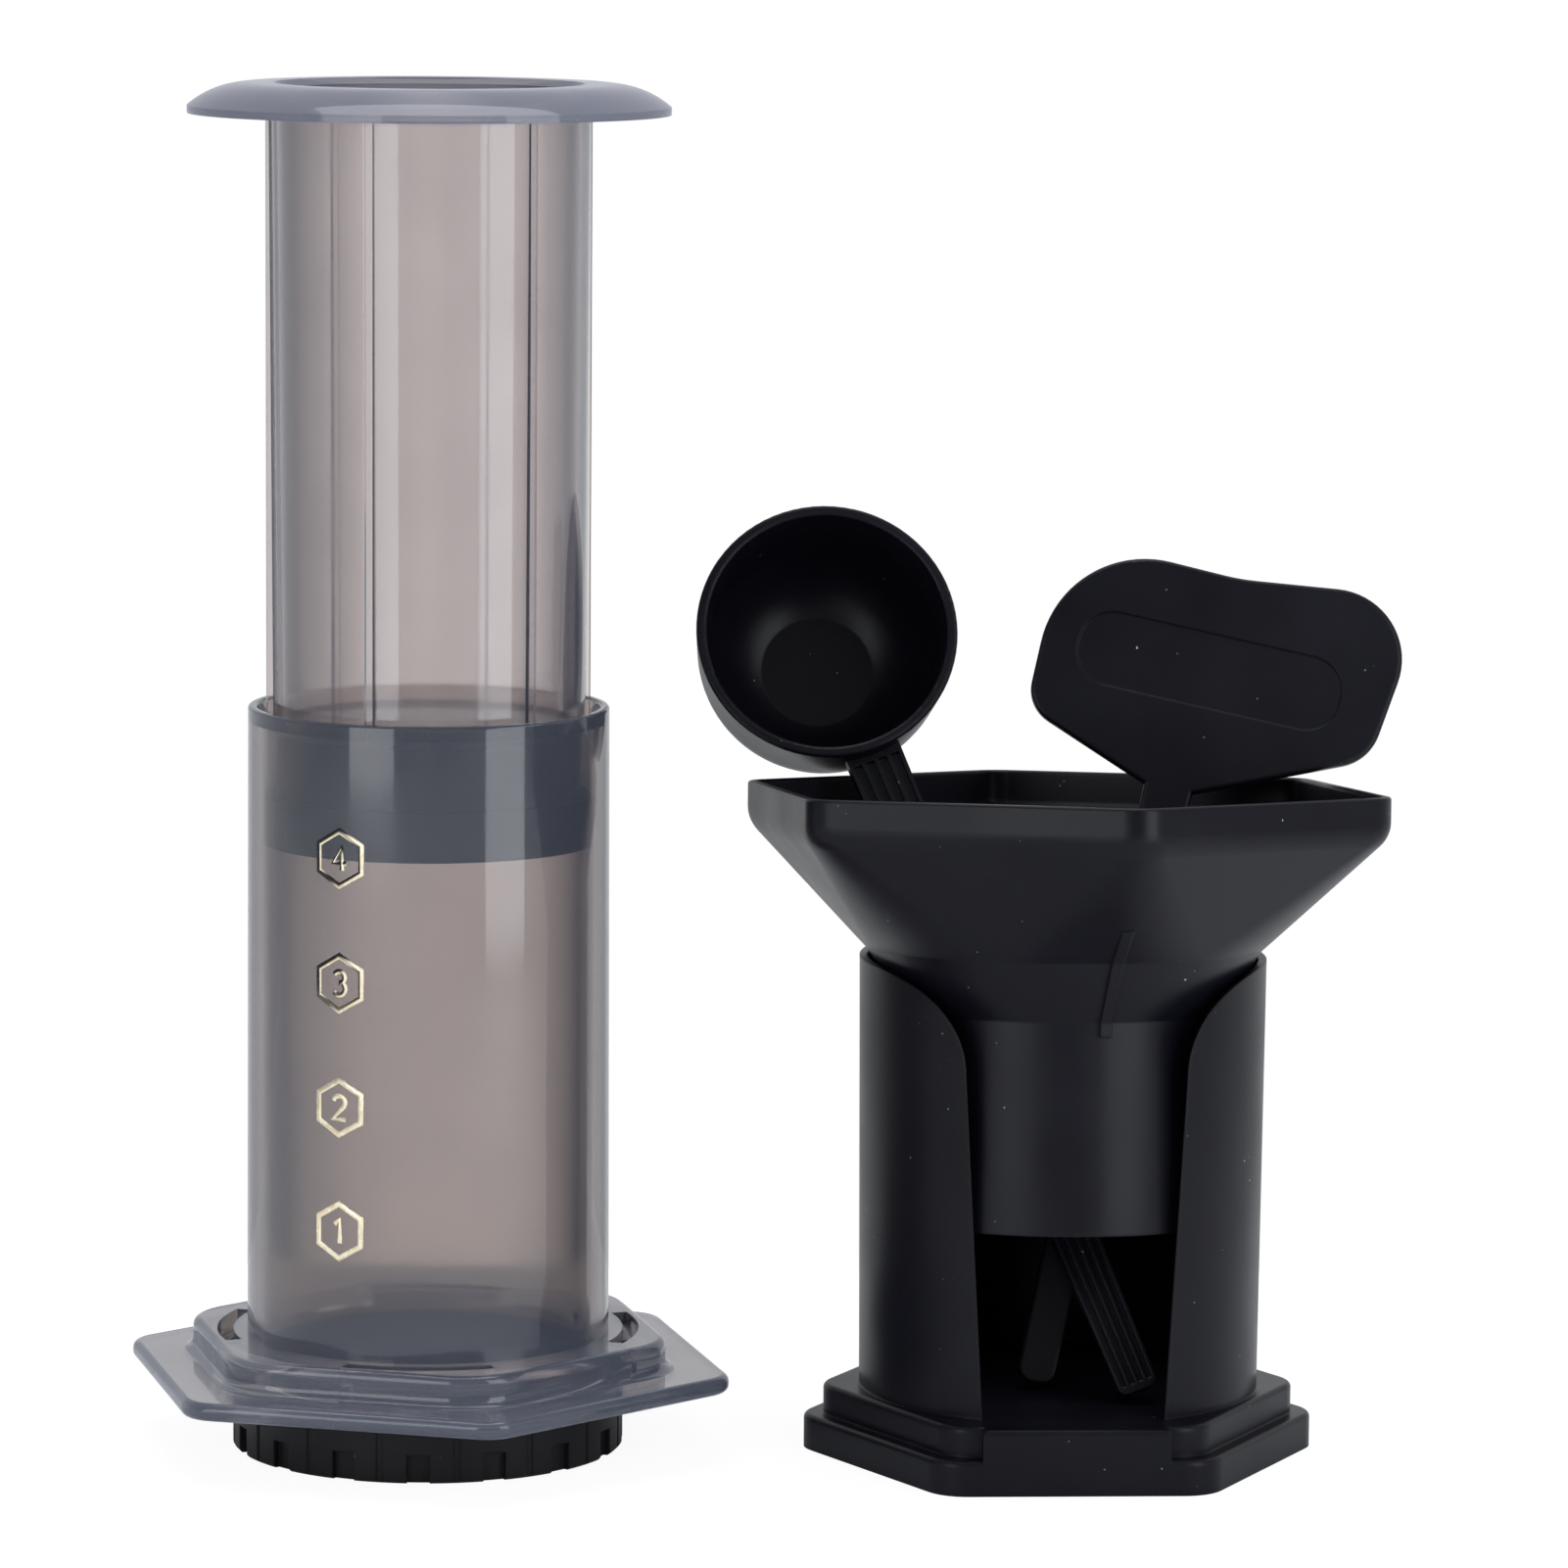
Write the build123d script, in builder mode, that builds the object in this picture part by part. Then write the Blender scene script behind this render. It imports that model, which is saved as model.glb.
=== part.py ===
from build123d import *

import os
from math import cos, degrees, radians, sin, sqrt

# Portable coffee press with its tool caddy, funnel, scoop and stirrer.
# The press stands on the table with its axis on Z, the caddy stands beside it along +X,
# and the front of both faces -Y. Lengths are in millimetres and angles in degrees.

# Values that several pieces share
cut_overrun = 1.0
hexagon_sides = 6
front_angle = -90.0
flat_share = cos(radians(30.0))
edge_limit_share = 0.45

# Filter cap and the paper filter on its floor
cap_wall = 2.2
cap_floor = 2.5
cap_edge = 0.5
cap_skirt_clearance = 0.4
cap_tab_count = 4
cap_tab_span = 34.0
cap_tab_reach = 2.5
cap_tab_thickness = 2.0
cap_tab_cover = 0.5
cap_tab_clearance = 0.2
cap_tab_side_clearance = 0.4
cap_notch_count = 16
cap_notch_width = 4.2
cap_notch_depth = 1.3
cap_notch_height = 5.2
cap_groove_width = 1.2
cap_groove_depth = 0.3
cap_hole_diameter = 3.2
cap_hole_pitch = 7.2
cap_hole_rings = 3
paper_thickness = 0.3
paper_side_clearance = 1.2
paper_clearance = 0.1

# Brewing chamber with its hexagonal flange
chamber_bore = 60.6
chamber_wall = 2.7
chamber_draft = 0.4
chamber_length = 134.4
rim_lead_in_width = 1.1
rim_lead_in_height = 3.0
rim_edge = 0.6
flange_height = 12.5
flange_thickness = 3.3
flange_margin = 9.8
flange_rounding = 7.5
flange_edge = 1.4
flange_turn = -15.0
tier_wall = 2.06
tier_head_room = 1.9
tier_rounding = 14.0
tier_edge = 1.5
tier_cove = 1.8
tier_roof = 2.4
slot_width = 3.0
slot_span = 42.0
ledge_thickness = 2.0
ledge_clearance = 0.4
ledge_span = 40.0
stop_span = 3.0

# Plunger, drawn up to the height of its rest pose, and its rubber seal
plunger_entry = 4.7
seal_height = 20.3
seal_lip_height = 9.0
seal_lip_clearance = 0.1
seal_body_inset = 2.5
seal_edge = 0.8
seal_foot_thickness = 5.5
seal_grip_clearance = 0.1
head_diameter = 37.0
head_thickness = 4.0
neck_diameter = 29.0
plunger_clearance = 1.05
plunger_draft = 0.7
plunger_wall = 1.9
plunger_floor = 2.5
plunger_length = 112.4
palm_overhang = 14.55
palm_thickness = 5.5
palm_edge_thickness = 1.4
palm_land_width = 4.6
palm_lip_width = 0.8
palm_lip_height = 1.2
guide_rib_count = 6
guide_rib_width = 1.5
guide_rib_clearance = 0.5
guide_rib_turn = -108.4

# Tool caddy: a slotted tube on a stepped hexagonal base
caddy_gap = 9.7
caddy_turn = 3.0
base_ledge = 3.1
base_height = 6.4
base_wall = 2.0
base_edge = 1.0
step_margin = 1.87
step_height = 5.6
base_rounding = 8.0
caddy_neck_room = 7.1
caddy_draft = 0.6
caddy_wall = 1.5
caddy_length = 79.7
mouth_width = 40.0
mouth_foot_width = 33.0
mouth_flare = 17.0
mouth_flare_span = 82.0
chute_width = 34.0

# Funnel, leaning back a little where its cone rests in the caddy
funnel_back = -1.2
funnel_lean = 4.4
funnel_corner_radius = 62.2
funnel_turn = -19.0
funnel_rounding = 7.0
funnel_band = 7.2
funnel_bend = 6.0
funnel_rim_edge = 0.6
funnel_wall = 2.0
funnel_seat_overlap = 0.45
funnel_seat_clearance = 0.89
funnel_seat_depth = 29.2
funnel_round_share = 0.996
funnel_shoulder = 11.3
funnel_neck_clearance = 1.55
funnel_neck_length = 38.6
funnel_fin_count = 3
funnel_fin_turn = -77.0
funnel_fin_width = 2.2
funnel_fin_depth = 1.0
funnel_fin_rise_share = 0.28
funnel_fin_drop = 2.5

# Scoop, with its cup held over the back corner of the funnel and its handle in the neck
scoop_cup_diameter = 49.0
scoop_cup_depth = 30.0
scoop_cup_draft = 1.0
scoop_straight_depth = 14.0
scoop_foot_diameter = 22.0
scoop_wall = 2.0
scoop_rim_edge = 0.6
scoop_side_room = 12.3
scoop_back_step = 6.6
scoop_cup_rest = 76.4
scoop_tilt = 23.0
scoop_turn = 4.0
scoop_swing = 20.9
scoop_reach = 153.1
scoop_foot_clearance = 0.3
scoop_handle_depth = 6.0
scoop_handle_thickness = 2.0
scoop_handle_root_width = 10.6
scoop_handle_end_width = 7.4
scoop_handle_rounding = 1.6
scoop_channel_count = 4
scoop_rib_width = 0.8
scoop_rib_height = 1.0

# Stirrer, standing on the caddy's floor with its paddle over the funnel's rim
stirrer_foot_side = -4.6
stirrer_foot_front = -6.0
stirrer_neck_side = 20.0
stirrer_neck_back = 22.0
stirrer_neck_drop = 3.2
stirrer_thickness = 3.2
stirrer_edge = 0.8
stirrer_foot_rise = 0.8
stirrer_handle_width = 7.4
stirrer_handle_rounding = 3.0
stirrer_neck_width = 9.2
paddle_width = 66.3
paddle_height = 43.9
paddle_corner_shares = (
    (0.534, 0.310, 0.205),
    (0.597, 1.046, 0.300),
    (0.068, 0.945, 0.910),
    (-0.440, 0.961, 0.455),
    (-0.440, 0.210, 0.160),
)
paddle_panel_side_share = 0.04
paddle_panel_rise_share = 0.53
paddle_panel_width = 50.0
paddle_panel_height = 14.0
paddle_panel_rounding = 6.5
paddle_panel_depth = 0.3

# Heights of the press above the table
chamber_foot_z = cap_floor + paper_thickness + paper_clearance
chamber_rim_z = chamber_foot_z + chamber_length
flange_top_z = flange_height + flange_thickness
ledge_top_z = flange_height + ledge_thickness
tab_foot_z = ledge_top_z + cap_tab_clearance
cap_height = tab_foot_z + cap_tab_thickness + cap_tab_cover
cavity_top_z = cap_height + tier_head_room
tier_top_z = cavity_top_z + tier_roof
plunger_foot_z = chamber_rim_z - plunger_entry
seal_foot_z = plunger_foot_z - seal_height
palm_foot_z = plunger_foot_z + plunger_length
palm_top_z = palm_foot_z + palm_thickness

# Radii that the pieces of the press take from one another
bore_radius = chamber_bore / 2
rim_radius = bore_radius + chamber_wall
foot_radius = rim_radius + chamber_draft
cap_inner_radius = foot_radius + cap_skirt_clearance
cap_radius = cap_inner_radius + cap_wall
tab_radius = cap_radius + cap_tab_reach
cavity_radius = tab_radius + cap_tab_side_clearance
tier_flat_radius = cavity_radius + tier_wall
flange_flat_radius = tier_flat_radius + flange_margin
plunger_top_radius = bore_radius - plunger_clearance
plunger_foot_radius = plunger_top_radius - plunger_draft

# Sizes of the caddy, whose tube has room for the funnel's neck
funnel_neck_radius = bore_radius - funnel_neck_clearance
caddy_inner_radius = funnel_neck_radius + caddy_neck_room
caddy_top_radius = caddy_inner_radius + caddy_wall
caddy_foot_radius = caddy_top_radius - caddy_draft
step_flat_radius = caddy_foot_radius + step_margin
base_flat_radius = step_flat_radius + base_ledge
caddy_distance = flange_flat_radius / flat_share + caddy_gap + base_flat_radius / flat_share
caddy_floor_z = base_height + step_height
caddy_rim_z = caddy_floor_z + caddy_length

# Depths of the funnel below its rim, and the height at which its shoulder rests in the caddy
funnel_seat_radius = caddy_inner_radius + funnel_seat_overlap
neck_top_depth = funnel_seat_depth + funnel_shoulder
neck_foot_depth = neck_top_depth + funnel_neck_length
shoulder_rest = funnel_seat_overlap + funnel_seat_clearance
shoulder_rest_share = shoulder_rest / (funnel_seat_radius - funnel_neck_radius)
funnel_rim_z = caddy_rim_z + funnel_seat_depth + funnel_shoulder * shoulder_rest_share


def rounded_hexagon(corner_radius, rounding, turn):
    """Give a hexagon with rounded corners, one of them turned from +X by the angle."""
    with BuildSketch() as outline:
        RegularPolygon(radius=corner_radius, side_count=hexagon_sides, rotation=turn)
        fillet(outline.vertices(), radius=rounding)
    return outline.sketch


def ring_sector(inner_radius, outer_radius, span, start=None):
    """Give a piece of a ring about Z, centred on +X unless it has a starting angle."""
    first_angle = -span / 2 if start is None else start
    with BuildSketch() as sector:
        with BuildLine():
            inner = CenterArc((0, 0), inner_radius, first_angle, span)
            outer = CenterArc((0, 0), outer_radius, first_angle, span)
            Line(inner @ 0, outer @ 0)
            Line(inner @ 1, outer @ 1)
        make_face()
    return sector.sketch


# Filter cap: a perforated floor, a gripped skirt and the tabs of the twist lock
tab_sector = ring_sector(cap_inner_radius, tab_radius, cap_tab_span)
notch_sector = ring_sector(
    cap_radius - cap_notch_depth, cap_radius + cut_overrun, degrees(cap_notch_width / cap_radius)
)
groove_sector = ring_sector(
    cap_radius - cap_groove_depth, cap_radius + cut_overrun, degrees(cap_groove_width / cap_radius)
)
half_notch_pitch = 180.0 / cap_notch_count

with BuildPart() as filter_cap:
    with BuildSketch():
        Circle(cap_radius)
    extrude(amount=cap_height)
    chamfer(filter_cap.edges().filter_by(GeomType.CIRCLE).group_by(Axis.Z)[0], length=cap_edge)
    with BuildSketch(Plane.XY.offset(cap_floor)):
        Circle(cap_inner_radius)
    extrude(amount=cap_height, mode=Mode.SUBTRACT)
    with BuildSketch(Plane.XY.offset(tab_foot_z)):
        with PolarLocations(0, cap_tab_count, start_angle=front_angle):
            add(tab_sector)
    extrude(amount=cap_tab_thickness)
    with BuildSketch(Plane.XY.offset(-cut_overrun)):
        with PolarLocations(0, cap_notch_count, start_angle=front_angle):
            add(notch_sector)
    extrude(amount=cap_notch_height + cut_overrun, mode=Mode.SUBTRACT)
    with BuildSketch(Plane.XY.offset(-cut_overrun)):
        with PolarLocations(0, cap_notch_count, start_angle=front_angle + half_notch_pitch):
            add(groove_sector)
    extrude(amount=flange_height + cut_overrun, mode=Mode.SUBTRACT)
    with BuildSketch(Plane.XY.offset(-cut_overrun)):
        for ring in range(1, cap_hole_rings + 1):
            with PolarLocations(ring * cap_hole_pitch, ring * hexagon_sides):
                Circle(cap_hole_diameter / 2)
    extrude(amount=cap_floor + cut_overrun + cut_overrun, mode=Mode.SUBTRACT)
filter_cap.part.label = "filter_cap"

# Paper filter, held between the cap's floor and the end of the chamber
with BuildPart() as paper_filter:
    with BuildSketch(Plane.XY.offset(cap_floor)):
        Circle(cap_inner_radius - paper_side_clearance)
    extrude(amount=paper_thickness)
paper_filter.part.label = "paper_filter"

# Chamber: flange plate, raised tier with the lock's cavity under it, and the tube
flange_outline = rounded_hexagon(flange_flat_radius / flat_share, flange_rounding, flange_turn)
tier_outline = rounded_hexagon(tier_flat_radius / flat_share, tier_rounding, flange_turn)
slot_sector = ring_sector(cavity_radius - slot_width, cavity_radius, slot_span)
ledge_radius = cap_radius + ledge_clearance
ledge_sector = ring_sector(ledge_radius, cavity_radius + cut_overrun, ledge_span)
stop_start = -ledge_span / 2 - stop_span / 2
stop_sector = ring_sector(ledge_radius, cavity_radius + cut_overrun, stop_span, stop_start)
flange_fillet = min(flange_edge, flange_thickness * edge_limit_share)
rim_fillet = min(rim_edge, (chamber_wall - rim_lead_in_width) * edge_limit_share)

with BuildPart() as chamber:
    with BuildSketch(Plane.XY.offset(flange_height)):
        add(flange_outline)
    extrude(amount=flange_thickness)
    fillet(chamber.edges().filter_by(Axis.Z, reverse=True), radius=flange_fillet)
    with BuildSketch(Plane.XY.offset(flange_height)):
        add(tier_outline)
    extrude(amount=tier_top_z - flange_height)
    flange_top_edges = chamber.edges().filter_by_position(Axis.Z, flange_top_z, flange_top_z)
    tier_foot_edges = flange_top_edges.sort_by_distance((0, 0, flange_top_z))[:2 * hexagon_sides]
    fillet(tier_foot_edges, radius=tier_cove)
    tier_top_edges = chamber.faces().sort_by(Axis.Z)[-1].edges()
    fillet(tier_top_edges, radius=tier_edge)
    with BuildSketch(Plane.XY.offset(flange_height - cut_overrun)):
        Circle(cavity_radius)
    extrude(amount=cavity_top_z - flange_height + cut_overrun, mode=Mode.SUBTRACT)
    with BuildSketch(Plane.XY.offset(flange_height)):
        with PolarLocations(0, cap_tab_count, start_angle=front_angle):
            add(ledge_sector)
    extrude(amount=ledge_thickness)
    with BuildSketch(Plane.XY.offset(flange_height)):
        with PolarLocations(0, cap_tab_count, start_angle=front_angle):
            add(stop_sector)
    extrude(amount=cavity_top_z - flange_height)
    with BuildSketch(Plane.XZ):
        with BuildLine():
            Polyline(
                (0, chamber_foot_z),
                (foot_radius, chamber_foot_z),
                (rim_radius, chamber_rim_z),
                (0, chamber_rim_z),
                close=True,
            )
        make_face()
    revolve(axis=Axis.Z)
    with BuildSketch(Plane.XY.offset(cavity_top_z - cut_overrun)):
        with PolarLocations(0, cap_tab_count, start_angle=front_angle):
            add(slot_sector)
    extrude(amount=tier_roof + cut_overrun + cut_overrun, mode=Mode.SUBTRACT)
    with BuildSketch(Plane.XZ):
        with BuildLine():
            Polyline(
                (0, chamber_foot_z - cut_overrun),
                (bore_radius, chamber_foot_z - cut_overrun),
                (bore_radius, chamber_rim_z - rim_lead_in_height),
                (bore_radius + rim_lead_in_width, chamber_rim_z),
                (bore_radius + rim_lead_in_width, chamber_rim_z + cut_overrun),
                (0, chamber_rim_z + cut_overrun),
                close=True,
            )
        make_face()
    revolve(axis=Axis.Z, mode=Mode.SUBTRACT)
    fillet(chamber.faces().sort_by(Axis.Z)[-1].edges(), radius=rim_fillet)
chamber.part.label = "chamber"

# Plunger: a hollow tube with a palm flange, guide ribs and the head that holds the seal
head_foot_z = seal_foot_z + seal_foot_thickness
head_top_z = head_foot_z + head_thickness
palm_radius = plunger_top_radius + palm_overhang
plunger_inner_top = plunger_top_radius - plunger_wall
plunger_inner_foot = plunger_foot_radius - plunger_wall
land_radius = plunger_inner_top + palm_lip_width + palm_land_width
palm_edge = (palm_radius, palm_foot_z + palm_edge_thickness)

with BuildPart() as plunger:
    with BuildSketch(Plane.XZ):
        with BuildLine():
            Polyline(
                (land_radius, palm_top_z),
                (plunger_inner_top + palm_lip_width, palm_top_z),
                (plunger_inner_top, palm_top_z - palm_lip_height),
                (plunger_inner_foot, plunger_foot_z + plunger_floor),
                (0, plunger_foot_z + plunger_floor),
                (0, head_foot_z),
                (head_diameter / 2, head_foot_z),
                (head_diameter / 2, head_top_z),
                (neck_diameter / 2, head_top_z),
                (neck_diameter / 2, plunger_foot_z),
                (plunger_foot_radius, plunger_foot_z),
                (plunger_top_radius, palm_foot_z),
                (palm_radius, palm_foot_z),
                palm_edge,
            )
            TangentArc((land_radius, palm_top_z), palm_edge, tangent=(1, 0))
        make_face()
    revolve(axis=Axis.Z)
    with BuildSketch(Plane.XY.offset(plunger_foot_z)):
        with PolarLocations(0, guide_rib_count, start_angle=guide_rib_turn):
            add(
                ring_sector(
                    plunger_inner_top,
                    bore_radius - guide_rib_clearance,
                    degrees(guide_rib_width / plunger_top_radius),
                )
            )
    extrude(amount=plunger_length)
plunger.part.label = "plunger"

# Plunger seal: a rubber cup gripped over the plunger's head
lip_radius = bore_radius - seal_lip_clearance
seal_body_radius = bore_radius - seal_body_inset

with BuildPart() as plunger_seal:
    with BuildSketch(Plane.XZ):
        with BuildLine():
            Polyline(
                (0, seal_foot_z),
                (lip_radius, seal_foot_z),
                (lip_radius, seal_foot_z + seal_lip_height),
                (seal_body_radius, seal_foot_z + seal_lip_height),
                (seal_body_radius, plunger_foot_z),
                (neck_diameter / 2 + seal_grip_clearance, plunger_foot_z),
                (neck_diameter / 2 + seal_grip_clearance, head_top_z + seal_grip_clearance),
                (head_diameter / 2 + seal_grip_clearance, head_top_z + seal_grip_clearance),
                (head_diameter / 2 + seal_grip_clearance, head_foot_z),
                (0, head_foot_z),
                close=True,
            )
        make_face()
    revolve(axis=Axis.Z)
    fillet(plunger_seal.edges().filter_by(GeomType.CIRCLE).group_by(Axis.Z)[0], radius=seal_edge)
plunger_seal.part.label = "plunger_seal"

# Caddy: stepped base, open underneath, with a tube that has a flared mouth at the front
caddy_right = Vector(cos(radians(caddy_turn)), sin(radians(caddy_turn)), 0)
caddy_front = Vector(sin(radians(caddy_turn)), -cos(radians(caddy_turn)), 0)
caddy_plane = Plane(origin=(caddy_distance, 0, 0), x_dir=caddy_right, z_dir=(0, 0, 1))
caddy_front_plane = Plane(origin=caddy_plane.origin, x_dir=caddy_right, z_dir=caddy_front)
base_outline = rounded_hexagon(base_flat_radius / flat_share, base_rounding, 0)
step_outline = rounded_hexagon(step_flat_radius / flat_share, base_rounding, 0)
hollow_rounding = base_rounding - base_wall
base_hollow = rounded_hexagon((base_flat_radius - base_wall) / flat_share, hollow_rounding, 0)
step_hollow = rounded_hexagon((step_flat_radius - base_wall) / flat_share, hollow_rounding, 0)
mouth_half = mouth_width / 2
mouth_foot_half = mouth_foot_width / 2
flare_centre = mouth_half + mouth_flare
flare_foot_z = caddy_rim_z - mouth_flare * sin(radians(mouth_flare_span))
flare_edge = flare_centre - mouth_flare * cos(radians(mouth_flare_span))

with BuildPart() as caddy:
    with BuildSketch(caddy_plane):
        add(base_outline)
    extrude(amount=base_height)
    base_top_edges = caddy.faces().sort_by(Axis.Z)[-1].edges()
    fillet(base_top_edges, radius=base_edge)
    with BuildSketch(caddy_plane):
        add(step_outline)
    extrude(amount=caddy_floor_z)
    with BuildSketch(caddy_plane):
        with Locations((0, -base_flat_radius / 2)):
            Rectangle(chute_width, base_flat_radius)
    extrude(amount=caddy_floor_z)
    step_top_edges = caddy.faces().sort_by(Axis.Z)[-1].edges()
    fillet(step_top_edges, radius=base_edge)
    with BuildSketch(caddy_plane):
        add(base_hollow)
    extrude(amount=base_height - base_wall, mode=Mode.SUBTRACT)
    with BuildSketch(caddy_plane):
        add(step_hollow)
    extrude(amount=caddy_floor_z - base_wall, mode=Mode.SUBTRACT)
    with BuildSketch(caddy_front_plane):
        with BuildLine():
            Polyline(
                (caddy_foot_radius - caddy_wall, caddy_floor_z),
                (caddy_foot_radius, caddy_floor_z),
                (caddy_top_radius, caddy_rim_z),
                (caddy_inner_radius, caddy_rim_z),
                close=True,
            )
        make_face()
    revolve(axis=Axis((caddy_distance, 0, 0), (0, 0, 1)))
    with BuildSketch(caddy_front_plane):
        with BuildLine():
            Polyline(
                (-mouth_half, flare_foot_z),
                (-mouth_foot_half, caddy_floor_z),
                (mouth_foot_half, caddy_floor_z),
                (mouth_half, flare_foot_z),
            )
            CenterArc((flare_centre, flare_foot_z), mouth_flare, 180, -mouth_flare_span)
            CenterArc((-flare_centre, flare_foot_z), mouth_flare, 0, mouth_flare_span)
            Polyline(
                (flare_edge, caddy_rim_z),
                (flare_edge, caddy_rim_z + cut_overrun),
                (-flare_edge, caddy_rim_z + cut_overrun),
                (-flare_edge, caddy_rim_z),
            )
        make_face()
    extrude(amount=caddy_top_radius + cut_overrun, mode=Mode.SUBTRACT)
caddy.part.label = "caddy"

# Funnel: a hexagonal band, a cone that turns round at its seat, and a round neck
funnel_plane = Plane(
    origin=(caddy_distance, funnel_back, funnel_rim_z),
    x_dir=(1, 0, 0),
    z_dir=(0, sin(radians(funnel_lean)), cos(radians(funnel_lean))),
)
funnel_axis = Axis(funnel_plane.origin, funnel_plane.z_dir)
fin_cone_height = (funnel_seat_depth - funnel_band) * funnel_fin_rise_share
fin_cone_width = (funnel_corner_radius - funnel_seat_radius) * funnel_fin_rise_share


def funnel_form(inset, overrun):
    """Give the funnel's solid form with each wall drawn in by the inset and its ends run on."""
    seat_radius = funnel_seat_radius - inset * sqrt(2)
    neck_radius = funnel_neck_radius - inset
    band_outline = rounded_hexagon(
        funnel_corner_radius - inset / flat_share, funnel_rounding - inset, funnel_turn
    )
    seat_outline = rounded_hexagon(
        seat_radius / flat_share, seat_radius * funnel_round_share, funnel_turn
    )
    neck_outline = rounded_hexagon(
        neck_radius / flat_share, neck_radius * funnel_round_share, funnel_turn
    )
    with BuildPart() as form:
        with BuildSketch(funnel_plane.offset(-funnel_band)):
            add(band_outline)
        extrude(amount=funnel_band + overrun)
        with BuildSketch(funnel_plane.offset(-funnel_band)):
            add(band_outline)
        with BuildSketch(funnel_plane.offset(-funnel_seat_depth)):
            add(seat_outline)
        loft(ruled=True)
        fillet(form.edges().group_by(funnel_axis)[2], radius=funnel_bend - inset)
        with BuildSketch(funnel_plane.offset(-funnel_seat_depth)):
            add(seat_outline)
        with BuildSketch(funnel_plane.offset(-neck_top_depth)):
            add(neck_outline)
        loft(ruled=True)
        with BuildSketch(funnel_plane.offset(-neck_foot_depth - overrun)):
            add(neck_outline)
        extrude(amount=funnel_neck_length + overrun)
    return form.part


def funnel_fin():
    """Give one fin, which runs down a corner of the cone and the shoulder to the neck."""
    with BuildPart() as fin:
        with BuildSketch(Plane.XZ):
            with BuildLine():
                Polyline(
                    (funnel_neck_radius - funnel_wall, -neck_top_depth - funnel_fin_drop),
                    (funnel_neck_radius + funnel_fin_depth, -neck_top_depth - funnel_fin_drop),
                    (funnel_neck_radius + funnel_fin_depth, -neck_top_depth),
                    (funnel_seat_radius + funnel_fin_depth, -funnel_seat_depth),
                    (funnel_seat_radius + fin_cone_width, -funnel_seat_depth + fin_cone_height),
                    (funnel_neck_radius - funnel_wall, -funnel_seat_depth + fin_cone_height),
                    close=True,
                )
            make_face()
        extrude(amount=funnel_fin_width / 2, both=True)
    return fin.part


with BuildPart() as funnel:
    add(funnel_form(0, 0))
    with Locations(funnel_plane):
        with PolarLocations(0, funnel_fin_count, start_angle=funnel_fin_turn):
            add(funnel_fin())
    add(funnel_form(funnel_wall, cut_overrun), mode=Mode.SUBTRACT)
    fillet(funnel.faces().sort_by(funnel_axis)[-1].edges(), radius=funnel_rim_edge)
funnel.part.label = "funnel"

# Scoop: a cup that opens to the front, with a ribbed handle running down through the funnel
tilt_run = cos(radians(scoop_tilt))
tilt_rise = sin(radians(scoop_tilt))
swing_run = cos(radians(scoop_swing))
swing_rise = sin(radians(scoop_swing))
scoop_right = Vector(cos(radians(scoop_turn)), sin(radians(scoop_turn)), 0)
scoop_front = Vector(sin(radians(scoop_turn)), -cos(radians(scoop_turn)), 0)
scoop_down = scoop_front * tilt_rise - Vector(0, 0, tilt_run)
scoop_along = scoop_right * swing_rise + scoop_down * swing_run
scoop_out = scoop_front * tilt_run + Vector(0, 0, tilt_rise)
handle_root_half = scoop_handle_root_width / 2
handle_end_half = scoop_handle_end_width / 2
handle_back_depth = scoop_handle_depth + scoop_handle_thickness

# The handle passes a point beside the wall of the neck, and the scoop stands on the caddy's floor
# or, where the handle is too short for that, hangs by its cup.
neck_top = funnel_plane.from_local_coords(Vector(0, 0, -neck_top_depth))
neck_inner_radius = funnel_neck_radius - funnel_wall
scoop_pass = neck_top + Vector(scoop_side_room - neck_inner_radius, scoop_back_step, 0)
foot_drop = handle_back_depth * tilt_rise + handle_end_half * tilt_run * swing_rise
foot_z = caddy_floor_z + scoop_foot_clearance + foot_drop
foot_run = (scoop_pass.Z - foot_z) / (tilt_run * swing_run)
scoop_origin = scoop_pass - scoop_along * max(scoop_cup_rest, scoop_reach - foot_run)
scoop_plane = Plane(origin=scoop_origin, x_dir=scoop_along, z_dir=scoop_out)
cup_plane = Plane(origin=scoop_origin, x_dir=scoop_along, z_dir=scoop_along.cross(scoop_out))
cup_axis = Axis(scoop_origin, scoop_out)
cup_radius = scoop_cup_diameter / 2
cup_waist_radius = cup_radius - scoop_cup_draft
handle_start = cup_waist_radius - scoop_wall / 2
rib_half = scoop_rib_width / 2
channel_start = cup_radius + scoop_rib_width
channel_end = scoop_reach - scoop_handle_rounding
channel_root_pitch = (scoop_handle_root_width - scoop_rib_width) / scoop_channel_count
channel_end_pitch = (scoop_handle_end_width - scoop_rib_width) / scoop_channel_count
channel_middle = (scoop_channel_count - 1) / 2

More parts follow.
